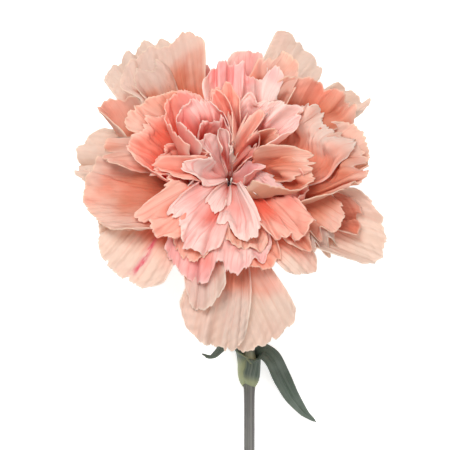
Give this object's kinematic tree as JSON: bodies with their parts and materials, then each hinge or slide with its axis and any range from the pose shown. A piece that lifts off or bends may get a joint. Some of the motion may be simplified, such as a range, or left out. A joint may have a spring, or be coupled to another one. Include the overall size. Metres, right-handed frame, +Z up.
{
  "type": "cut carnation flower",
  "caption": "Cut carnation lying down: open double bloom with toothed coral petals in a green calyx, on a bare stem with one swollen node and its pair of leaves.",
  "frame": {"origin": "on the surface that the flower lies on, under the middle of its bounding box", "axes": "+Z up from the surface, +Y along the stem from its cut end towards the bloom, +X to the side of the leaf that shows"},
  "size_m": [0.0854, 0.1856, 0.0528],
  "materials": {
    "petal_coral": "matte",
    "petal_blush": "matte",
    "petal_cream": "matte",
    "petal_tan": "matte",
    "stem": "satin",
    "leaf": "satin",
    "calyx": "satin",
    "heart": "satin",
    "style": "satin"
  },
  "bodies": {
    "root": {"stem": "stem", "leaf_right": "leaf", "leaf_left": "leaf", "calyx": "calyx", "bract_1": "calyx", "bract_2": "calyx", "bract_3": "calyx", "bract_4": "calyx", "receptacle": "heart", "ovary": "heart", "style_left": "style", "style_right": "style", "petal_01": "petal_cream", "petal_02": "petal_cream", "petal_03": "petal_blush", "petal_04": "petal_blush", "petal_05": "petal_coral", "petal_06": "petal_cream", "petal_07": "petal_tan", "petal_08": "petal_blush", "petal_09": "petal_cream", "petal_10": "petal_cream", "petal_11": "petal_tan", "petal_12": "petal_tan", "petal_13": "petal_tan", "petal_14": "petal_cream", "petal_15": "petal_tan", "petal_16": "petal_blush", "petal_17": "petal_blush", "petal_18": "petal_blush", "petal_19": "petal_cream", "petal_20": "petal_tan", "petal_21": "petal_blush", "petal_22": "petal_tan", "petal_23": "petal_blush", "petal_24": "petal_blush", "petal_25": "petal_tan", "petal_26": "petal_coral", "petal_27": "petal_coral", "petal_28": "petal_coral", "petal_29": "petal_coral", "petal_30": "petal_coral", "petal_31": "petal_blush", "petal_32": "petal_blush", "petal_33": "petal_blush", "petal_34": "petal_coral", "petal_35": "petal_tan", "petal_36": "petal_coral", "petal_37": "petal_coral", "petal_38": "petal_coral", "petal_39": "petal_blush", "petal_40": "petal_coral", "petal_41": "petal_coral", "petal_42": "petal_blush", "petal_43": "petal_coral", "petal_44": "petal_coral", "petal_45": "petal_blush", "petal_46": "petal_coral", "petal_47": "petal_coral", "petal_48": "petal_blush"}
  },
  "joints": []
}
